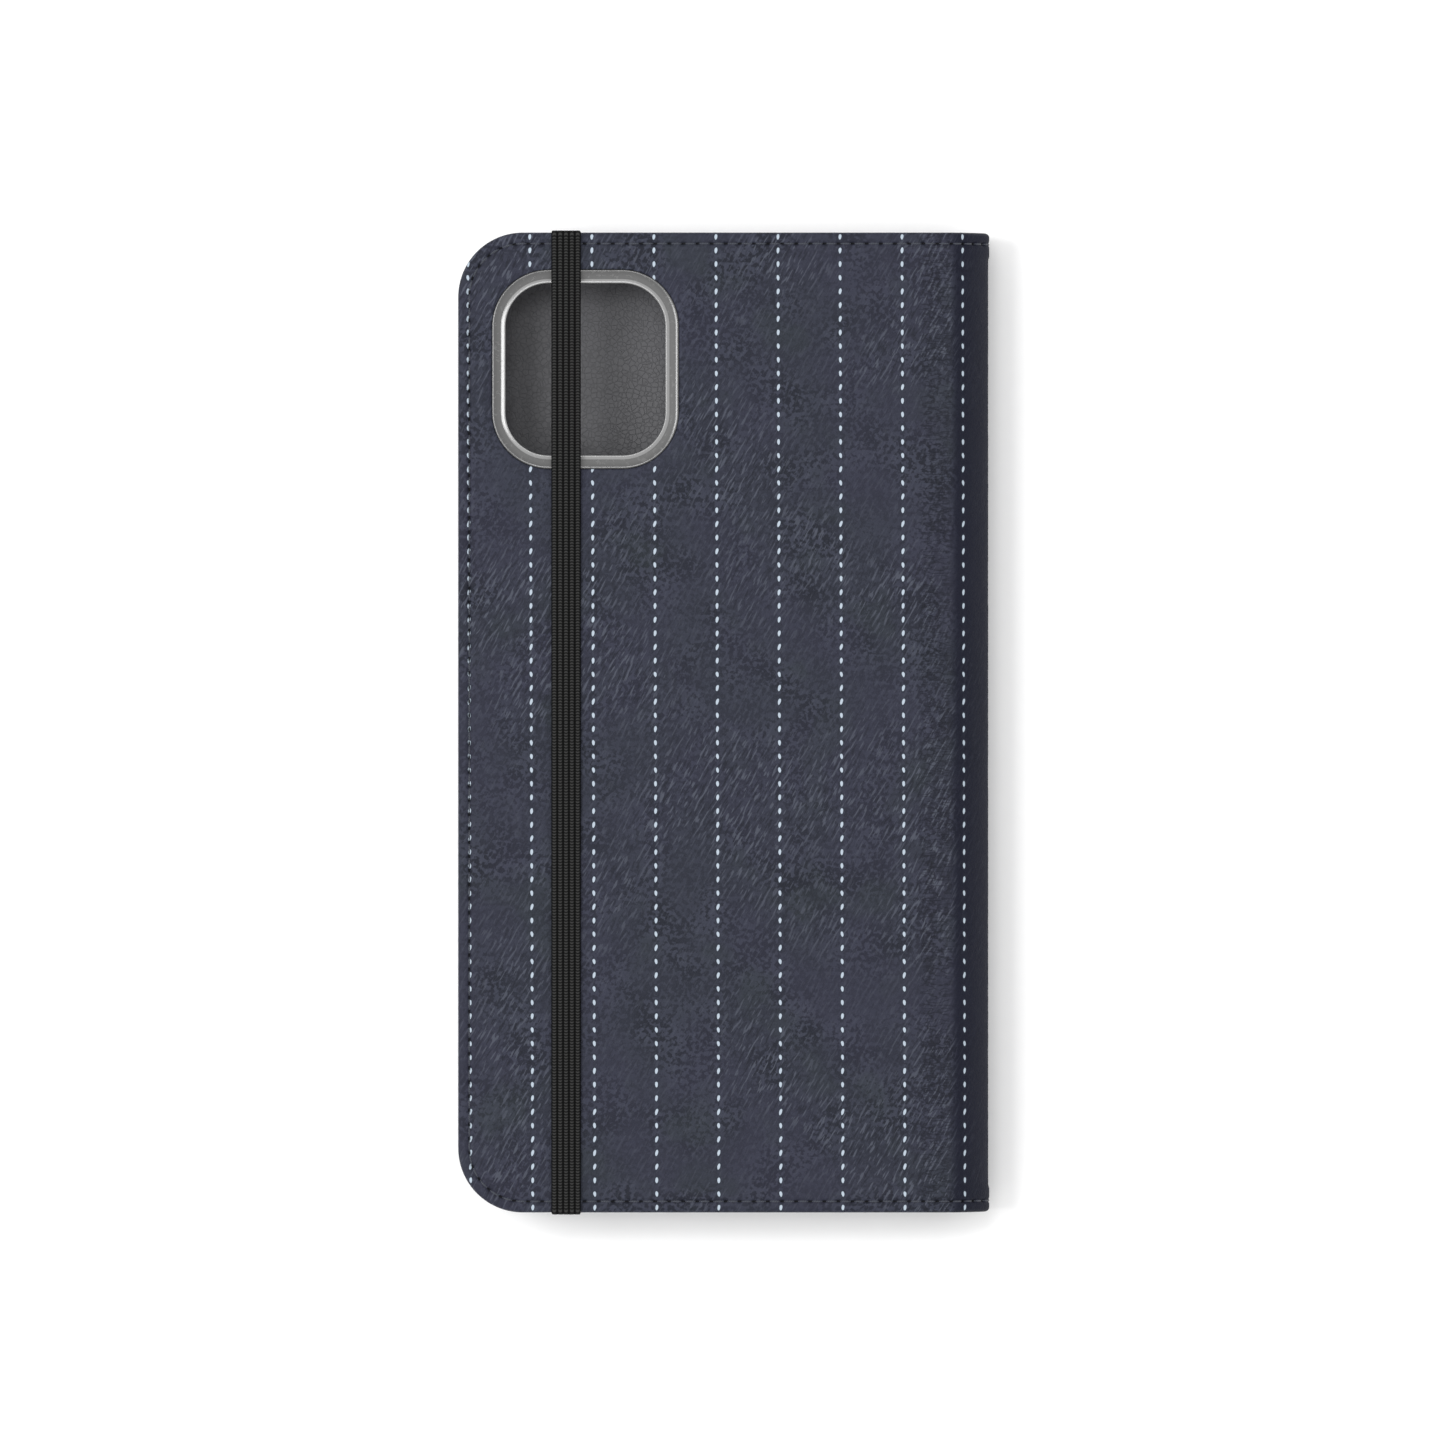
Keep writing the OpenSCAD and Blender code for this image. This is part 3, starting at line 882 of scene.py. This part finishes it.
class Nodes:
    """A material's node tree, with short calls for what the materials share."""

    def __init__(self, name):
        self.material = bpy.data.materials.new(name)
        self.material.use_nodes = True
        self.tree = self.material.node_tree
        self.shader = self.tree.nodes["Principled BSDF"]

    def fill(self, node, inputs):
        """Links or sets a node's inputs."""
        for key, value in inputs.items():
            if isinstance(value, bpy.types.NodeSocket):
                self.tree.links.new(value, node.inputs[key])
            else:
                node.inputs[key].default_value = value

    def add(self, kind, inputs, output=0, **settings):
        """A new node, and the output asked for."""
        node = self.tree.nodes.new("ShaderNode" + kind)
        for key, value in settings.items():
            setattr(node, key, value)
        self.fill(node, inputs)
        return node.outputs[output]

    def math(self, operation, a, b=0.0, c=0.0):
        return self.add("Math", {0: a, 1: b, 2: c}, operation=operation)

    def times(self, a, b):
        return self.math("MULTIPLY", a, b)

    def plus(self, a, b):
        return self.math("ADD", a, b)

    def minus(self, a, b):
        return self.math("SUBTRACT", a, b)

    def step(self, value, low, high):
        """A smooth step from 0 at low to 1 at high. low may be over high."""
        return self.add("MapRange", {0: value, 1: low, 2: high, 3: 0.0, 4: 1.0},
                        interpolation_type="SMOOTHSTEP")

    def mix(self, factor, a, b):
        return self.add("Mix", {0: factor, 6: a, 7: b}, 2, data_type="RGBA")

    def noise(self, vector, scale, detail=2.0):
        return self.add("TexNoise", {"Vector": vector, "Scale": scale, "Detail": detail})

    def cells(self, vector, scale, feature="F1"):
        return self.add("TexVoronoi", {"Vector": vector, "Scale": scale}, feature=feature)

    def vector(self, x, y, z=0.0):
        return self.add("CombineXYZ", {0: x, 1: y, 2: z})

    def uv(self, name):
        """A UV map as a vector, and its two parts."""
        vector = self.add("UVMap", {}, uv_map=name)
        return vector, self.part(vector, 0), self.part(vector, 1)

    def part(self, vector, index):
        return self.add("SeparateXYZ", {0: vector}, index)

    def metres(self):
        """The piece's own coordinates, in millimetres."""
        place = self.add("TexCoord", {}, 3)
        return self.add("VectorMath", {0: place, 3: 1 / MM}, operation="SCALE")

    def bump(self, height, strength, depth):
        """Bumps of a depth in millimetres."""
        return self.add("Bump", {"Height": height, "Strength": strength, "Distance": depth * MM})

    def surface(self, **sockets):
        """Sets the shader's sockets. An underscore in a name stands for a space."""
        self.fill(self.shader, {key.replace("_", " "): value for key, value in sockets.items()})
        return self.material


def grey(value, blue=1.0):
    """A near grey colour."""
    return (value, value, value * blue, 1.0)


def printed_leather():
    """Dark slate print with broken texture, slanting strokes and pale dashes in columns."""
    n = Nodes("printed_leather")
    flat, u, v = n.uv("print")
    fine = n.noise(flat, 1.25, 3.0)
    patches = n.noise(flat, 0.17, 2.0)
    mottle = n.step(n.math("MULTIPLY_ADD", n.minus(patches, 0.5), 0.4, fine), 0.45, 0.55)
    busy = n.math("MULTIPLY_ADD", n.step(n.noise(flat, 0.1, 1.0), 0.40, 0.62), 0.65, 0.35)
    mottle = n.math("MULTIPLY_ADD", n.minus(mottle, 0.5), busy, 0.5)
    colour = n.mix(mottle, (0.0115, 0.0131, 0.0205, 1), (0.0322, 0.0355, 0.0525, 1))
    teal = n.step(n.noise(flat, 0.085, 2.0), 0.54, 0.64)
    colour = n.mix(n.times(teal, 0.4), colour, (0.0195, 0.0250, 0.0290, 1))
    hue = n.step(n.noise(flat, 0.055, 1.0), 0.38, 0.62)
    colour = n.mix(n.times(hue, 0.35), colour, (0.0262, 0.0258, 0.0460, 1))

    lean = math.radians(61)
    cos, sin = math.cos(lean), math.sin(lean)
    along = n.plus(n.times(u, cos), n.times(v, sin))
    across = n.minus(n.times(v, cos), n.times(u, sin))
    slanted = n.vector(n.times(along, 0.40), n.times(across, 2.3))
    strokes = n.noise(slanted, 1.0, 1.0)
    zones = n.step(n.noise(flat, 0.035, 1.0), 0.42, 0.62)
    light = n.times(n.step(strokes, 0.57, 0.65), n.math("MULTIPLY_ADD", zones, 0.7, 0.2))
    colour = n.mix(light, colour, (0.0580, 0.0640, 0.0850, 1))
    dark = n.times(n.step(strokes, 0.43, 0.35), n.math("MULTIPLY_ADD", zones, 0.5, 0.2))
    colour = n.mix(dark, colour, (0.0095, 0.0108, 0.0170, 1))

    from_spine = n.math("ABSOLUTE", n.minus(u, SPINE_S))

    def rise(low, high):
        """A smooth step between two places across the sheet."""
        return n.step(from_spine, SPINE_S - low, SPINE_S - high)

    # Painted shade along the creases: dark lines in the creased zone beside the fold. The same lines
    # also dip the bump.
    fold = n.times(rise(32.5, 34.5), rise(40.5, 37.5))
    lines = n.noise(n.vector(n.times(u, 0.34), n.times(v, 1.1)), 1.0, 2.0)
    lines = n.step(n.math("ABSOLUTE", n.minus(lines, 0.5)), 0.055, 0.0)
    lines = n.times(lines, fold)
    colour = n.mix(n.times(lines, 0.65), colour, (0.0065, 0.0074, 0.0120, 1))
    # Painted shade: the slanted facet of the fold and the spine are darkened, as they face away from the
    # lamps.
    spine = rise(38.2, 40.2)
    colour = n.mix(n.times(spine, 0.85), colour, (0.0045, 0.0054, 0.0140, 1))

    lean_u = n.math("MULTIPLY_ADD", v, STRIPE_LEAN, n.minus(u, STRIPE_START - STRIPE_PITCH / 2))
    du = n.minus(n.math("FLOORED_MODULO", lean_u, STRIPE_PITCH), STRIPE_PITCH / 2)
    row_v = n.minus(v, DASH_PHASE - DASH_PITCH / 2)
    dv = n.minus(n.math("FLOORED_MODULO", row_v, DASH_PITCH), DASH_PITCH / 2)
    dash_number = n.math("FLOOR", n.math("DIVIDE", row_v, DASH_PITCH))
    chance = n.add("TexWhiteNoise", {"W": dash_number}, noise_dimensions="1D")
    tilt = n.times(n.minus(chance, 0.35), n.times(dv, 0.42))
    taper = n.math("MULTIPLY_ADD", dv, 0.06, 0.235)
    reach_u = n.math("DIVIDE", n.minus(du, tilt), taper)
    reach_v = n.math("DIVIDE", dv, n.math("MULTIPLY_ADD", chance, 0.09, 0.43))
    reach = n.plus(n.math("POWER", reach_u, 2.0), n.math("POWER", reach_v, 2.0))
    reach = n.math("SQRT", reach)
    ragged = n.minus(n.noise(flat, 2.6, 1.0), 0.5)
    reach = n.plus(reach, n.times(ragged, 0.35))
    halo = n.times(n.step(reach, 2.0, 1.2), 0.6)
    colour = n.mix(halo, colour, (0.0160, 0.0200, 0.0310, 1))
    dash = n.step(reach, 1.18, 0.86)
    colour = n.mix(dash, colour, (0.3750, 0.4350, 0.5000, 1))

    # Painted shade in the needle holes, read from the sheets' hole layer.
    hole = n.add("Attribute", {}, 2, attribute_name="hole")
    colour = n.mix(n.step(hole, 0.35, 0.8), colour, (0.0030, 0.0034, 0.0050, 1))

    grain = n.cells(flat, 1.7, "DISTANCE_TO_EDGE")
    grain = n.plus(n.step(grain, 0.0, 0.16), n.noise(flat, 4.0, 2.0))
    grain = n.minus(grain, n.times(lines, 1.2))
    rough = n.math("MULTIPLY_ADD", fine, 0.16, 0.54)
    return n.surface(Base_Color=colour, Roughness=rough, Specular_IOR_Level=0.13,
                     Normal=n.bump(grain, 0.45, 0.07))


def lining_cloth():
    """Dark grey suede-like lining."""
    n = Nodes("lining_cloth")
    flat = n.uv("print")[0]
    nap = n.noise(flat, 3.2, 3.0)
    clouds = n.step(n.noise(flat, 0.12, 2.0), 0.35, 0.65)
    colour = n.mix(clouds, grey(0.058, 1.1), grey(0.074, 1.1))
    colour = n.mix(n.times(n.step(nap, 0.42, 0.7), 0.45), colour, grey(0.108, 1.08))
    return n.surface(Base_Color=colour, Roughness=0.9, Specular_IOR_Level=0.15, Sheen_Weight=0.15,
                     Sheen_Roughness=0.6, Normal=n.bump(nap, 0.5, 0.1))


def pocket_leather():
    """Smooth grained leather of the pockets, darker along the crevices of its grain."""
    n = Nodes("pocket_leather")
    place = n.metres()
    pebbles = n.cells(place, 1.15, "DISTANCE_TO_EDGE")
    edges = n.step(pebbles, 0.0, 0.12)
    clouds = n.noise(place, 0.09, 3.0)
    colour = n.mix(n.step(clouds, 0.35, 0.65), grey(0.078, 1.08), grey(0.098, 1.08))
    colour = n.mix(n.times(n.minus(1.0, edges), 0.35), colour, grey(0.045, 1.05))
    height = n.plus(edges, n.times(n.noise(place, 3.0, 2.0), 0.5))
    rough = n.math("MULTIPLY_ADD", clouds, 0.2, 0.42)
    return n.surface(Base_Color=colour, Roughness=rough, Specular_IOR_Level=0.35,
                     Normal=n.bump(height, 0.5, 0.08))


def thread_material(name, light, dark):
    """Twisted thread."""
    n = Nodes(name)
    twist, along, around = n.uv("thread")
    turns = n.math("MULTIPLY_ADD", along, 6.0, n.times(around, 2.0))
    turns = n.math("SINE", n.times(turns, 2 * math.pi))
    strand = n.step(turns, -0.9, 0.2)
    colour = n.mix(strand, dark, light)
    fuzz = n.noise(twist, 14.0, 2.0)
    colour = n.mix(n.times(fuzz, 0.3), colour, dark)
    return n.surface(Base_Color=colour, Roughness=0.7, Specular_IOR_Level=0.25, Sheen_Weight=0.1,
                     Normal=n.bump(strand, 0.6, 0.05))


def tray_plastic():
    """Satin grey plastic with a fine spark-eroded texture."""
    n = Nodes("tray_plastic")
    place = n.metres()
    spark = n.noise(place, 5.0, 3.0)
    clouds = n.noise(place, 0.06, 2.0)
    colour = n.mix(n.step(clouds, 0.3, 0.7), grey(0.098, 1.03), grey(0.112, 1.03))
    colour = n.mix(n.times(n.step(spark, 0.4, 0.7), 0.25), colour, grey(0.14, 1.02))
    rough = n.math("MULTIPLY_ADD", spark, 0.2, 0.36)
    return n.surface(Base_Color=colour, Roughness=rough, Specular_IOR_Level=0.5,
                     Normal=n.bump(spark, 0.3, 0.03))


def bezel_plastic():
    """Smooth grey plastic with a faint fine texture and small scuffs."""
    n = Nodes("bezel_plastic")
    place = n.metres()
    inset = n.add("Attribute", {}, 2, attribute_name="inset")
    colour = n.mix(n.step(inset, 0.2, 1.3), grey(0.045), grey(0.078))
    # The ridge is painted a lighter grey: partly its own colour, partly a painted highlight.
    ridge = n.step(inset, 1.6, 1.68)
    colour = n.mix(ridge, colour, grey(0.2))
    scuffs = n.step(n.noise(place, 1.4, 4.0), 0.56, 0.7)
    colour = n.mix(n.times(scuffs, 0.2), colour, grey(0.2))
    rough = n.math("MULTIPLY_ADD", scuffs, 0.12, 0.22)
    return n.surface(Base_Color=colour, Roughness=rough, Specular_IOR_Level=1.0,
                     Normal=n.bump(n.noise(place, 6.0, 2.0), 0.12, 0.02))


def elastic_knit():
    """Black elastic, knitted in ribs, with painted sheen on the loops along each rib and painted shade
    in the gaps between ribs.
    """
    n = Nodes("elastic_knit")
    knit, across, along = n.uv("knit")
    low, high = node_box("elastic_band")
    rib = n.math("FRACT", n.times(across, RIBS / (high.x - low.x)))
    from_groove = n.minus(0.5, n.math("ABSOLUTE", n.minus(rib, 0.5)))
    crown = n.step(from_groove, 0.06, 0.3)
    slant = n.times(n.math("ABSOLUTE", n.minus(rib, 0.5)), 0.35)
    loop_pitch = 0.5
    loops = n.math("SINE", n.times(n.plus(along, slant), 2 * math.pi / loop_pitch))
    loop = n.step(loops, -0.75, 0.5)
    # Painted shade darkens the gaps between ribs, and painted sheen lightens the loops on the crowns.
    colour = n.mix(crown, grey(0.0012), grey(0.0065))
    colour = n.mix(n.times(n.times(loop, crown), 0.8), colour, grey(0.046, 0.98))
    fuzz = n.noise(knit, 5.0, 3.0)
    colour = n.mix(n.times(fuzz, 0.25), colour, grey(0.008))
    height = n.plus(n.times(loop, crown), n.times(fuzz, 0.25))
    return n.surface(Base_Color=colour, Roughness=0.85, Specular_IOR_Level=0.06,
                     Normal=n.bump(height, 0.8, 0.12))


def fibre_board():
    """Pressed fibre board."""
    n = Nodes("fibre_board")
    place = n.metres()
    fibres = n.noise(place, 1.6, 4.0)
    colour = n.mix(n.step(fibres, 0.35, 0.65), (0.40, 0.36, 0.29, 1), (0.56, 0.52, 0.44, 1))
    return n.surface(Base_Color=colour, Roughness=0.9, Normal=n.bump(fibres, 0.4, 0.1))


def adhesive_film():
    """Pale double-sided adhesive."""
    n = Nodes("adhesive_film")
    bubbles = n.step(n.cells(n.metres(), 0.8), 0.0, 0.3)
    colour = n.mix(bubbles, (0.60, 0.57, 0.48, 1), (0.72, 0.70, 0.62, 1))
    return n.surface(Base_Color=colour, Roughness=0.4, Normal=n.bump(bubbles, 0.2, 0.03))


def floor_paper():
    """White studio paper."""
    n = Nodes("floor_paper")
    fibre = n.noise(n.metres(), 0.4, 3.0)
    colour = n.mix(fibre, grey(0.93), grey(0.95))
    return n.surface(Base_Color=colour, Roughness=0.95, Specular_IOR_Level=0.0)


# ---- The scene

def keep_node(name, material):
    """Gives a carried-over CAD node its material."""
    mesh = frame["nodes"][name].data
    mesh.materials.clear()
    mesh.materials.append(material)


def add_floor():
    """A large pale floor under the case."""
    bm = bmesh.new()
    bmesh.ops.create_grid(bm, x_segments=8, y_segments=8, size=20000)
    floor = make_piece("floor", bm, floor_paper())
    floor.location.z = -0.00002


def add_light(name, place, size, power):
    """A soft square lamp aimed at the case."""
    lamp = bpy.data.lights.new(name, "AREA")
    lamp.shape, lamp.size, lamp.energy = "SQUARE", size, power
    light = bpy.data.objects.new(name, lamp)
    light.location = place
    light.rotation_euler = (-Vector(place)).to_track_quat("-Z", "Y").to_euler()
    bpy.context.scene.collection.objects.link(light)


def add_studio():
    """A large lamp from the left, a small one from the top, and an even white surround."""
    scene = bpy.context.scene
    scene.view_settings.view_transform = "Standard"
    world = bpy.data.worlds.new("surround")
    world.use_nodes = True
    background = world.node_tree.nodes["Background"]
    background.inputs["Color"].default_value = (1, 1, 1, 1)
    background.inputs["Strength"].default_value = 0.98
    scene.world = world
    add_light("key", (-0.58, 0.07, 1.04), 0.5, 7.0)
    add_light("top_light", (-0.05, 0.26, 1.04), 0.26, 2.0)
    add_floor()


def add_camera():
    """A long lens straight above the case. The case sits a hair right of the middle."""
    height, sensor, view_width, aside = 3.0, 36.0, 0.2462, 0.00025
    data = bpy.data.cameras.new("camera")
    data.sensor_width = sensor
    data.lens = sensor * height / view_width
    camera = bpy.data.objects.new("camera", data)
    camera.location = (-aside, 0, CASE_T * MM + height)
    bpy.context.scene.collection.objects.link(camera)
    bpy.context.scene.camera = camera


def add_case():
    """Every piece of the case."""
    leather = printed_leather()
    cloth = lining_cloth()
    pocket = pocket_leather()
    light, dark = (0.060, 0.066, 0.084, 1), (0.022, 0.025, 0.034, 1)
    outer_thread = thread_material("outer_thread", light, dark)
    light, dark = (0.130, 0.134, 0.145, 1), (0.050, 0.052, 0.058, 1)
    inner_thread = thread_material("inner_thread", light, dark)
    elastic = elastic_knit()
    shared = {"back": ["spine_skin", "spine_lining", "spine_stitching"], "front": []}
    for side, back in (("back", True), ("front", False)):
        spine = shared[side]
        add_skin(side, back, leather, [f"{side}_skin"] + spine[:1])
        add_lining(side, back, cloth, [f"{side}_lining"] + spine[1:2])
        add_edge_stitches(f"stitches_{side}_outer", back, outer_thread, 0.0, 1,
                          [f"{side}_stitching"] + spine[2:])
        add_edge_stitches(f"stitches_{side}_inner", back, inner_thread, COVER_T, -1, [])
    add_pocket("cash_pocket", pocket, 0.0, 7.6)
    for name in ("card_pocket_inner", "card_pocket_middle", "card_pocket_outer"):
        add_pocket(name, pocket, 3.0, 2.0)
    add_pocket_stitches(inner_thread)
    add_tray(tray_plastic())
    add_bezel(bezel_plastic())
    add_band("band_half_top", 1, elastic, ["band_end_top", "elastic_band"])
    add_band("band_half_bottom", -1, elastic, ["band_end_bottom"])
    add_tacks(inner_thread)
    board = fibre_board()
    for name in ("front_board", "spine_board", "back_board"):
        keep_node(name, board)
    keep_node("tray_adhesive", adhesive_film())


add_camera()
add_studio()
add_case()
